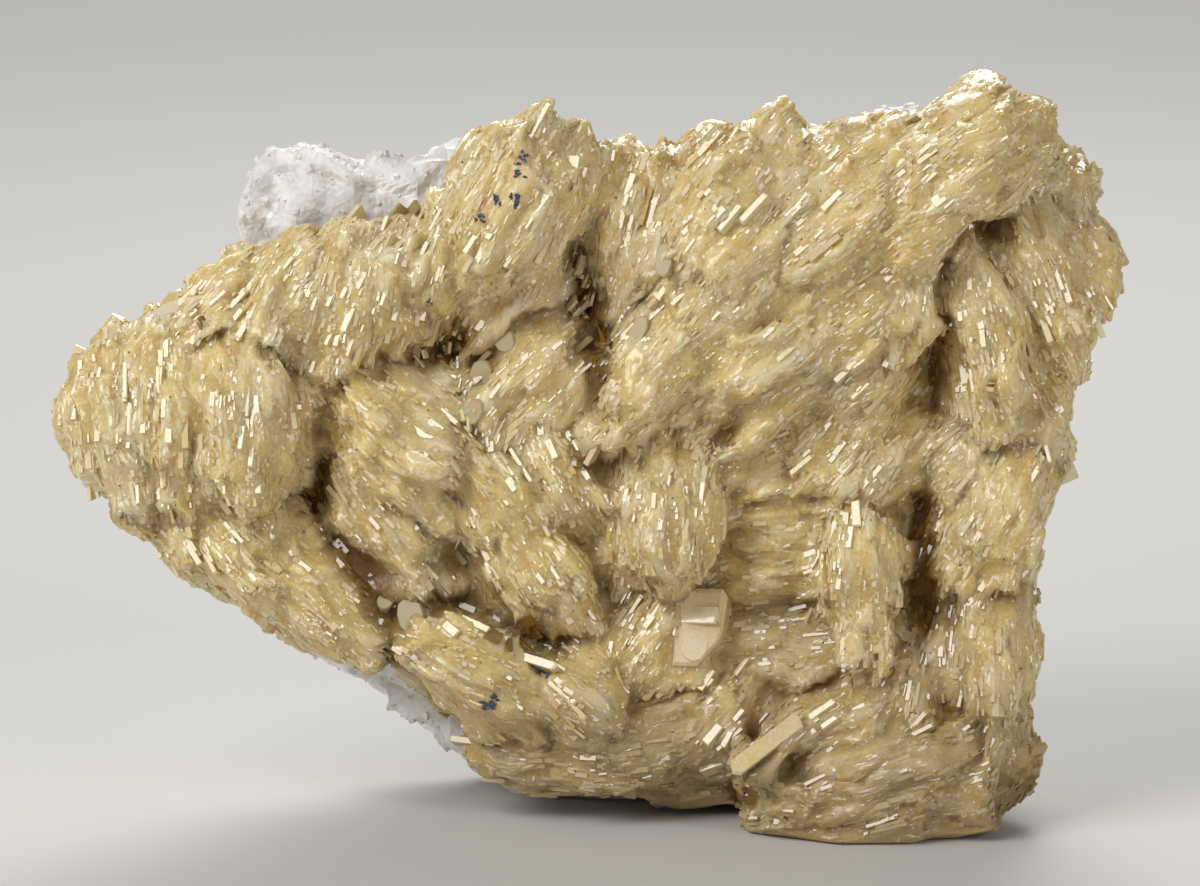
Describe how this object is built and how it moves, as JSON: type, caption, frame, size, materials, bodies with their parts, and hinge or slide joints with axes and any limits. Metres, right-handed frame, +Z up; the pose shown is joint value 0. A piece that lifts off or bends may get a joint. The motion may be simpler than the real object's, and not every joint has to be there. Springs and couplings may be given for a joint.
{
  "type": "barite crystal cluster",
  "caption": "Honey-yellow tabular barite in crowded fans of upright blades, covering one face of a lump of white rock, standing on its broken base.",
  "frame": {"origin": "middle of the bounding box, on the surface that the specimen stands on", "axes": "+X across the crystal face to the viewer's right, +Y from the crystal face back through the rock, +Z up"},
  "size_m": [0.0899, 0.0331, 0.0636],
  "materials": {
    "barite": "glassy translucent crystal faces, honey yellow with pale tips and amber crevices",
    "rock": "broken, sugary white rock with pale grey patches",
    "dark_grain": "dark blue-grey metallic grains with a little rust"
  },
  "bodies": {
    "root": {"barite_crust": "barite", "rock": "rock", "dark_grain_1": "dark_grain", "dark_grain_2": "dark_grain", "dark_grain_3": "dark_grain", "dark_grain_4": "dark_grain", "dark_grain_5": "dark_grain", "dark_grain_6": "dark_grain", "dark_grain_7": "dark_grain", "dark_grain_8": "dark_grain"}
  },
  "joints": []
}
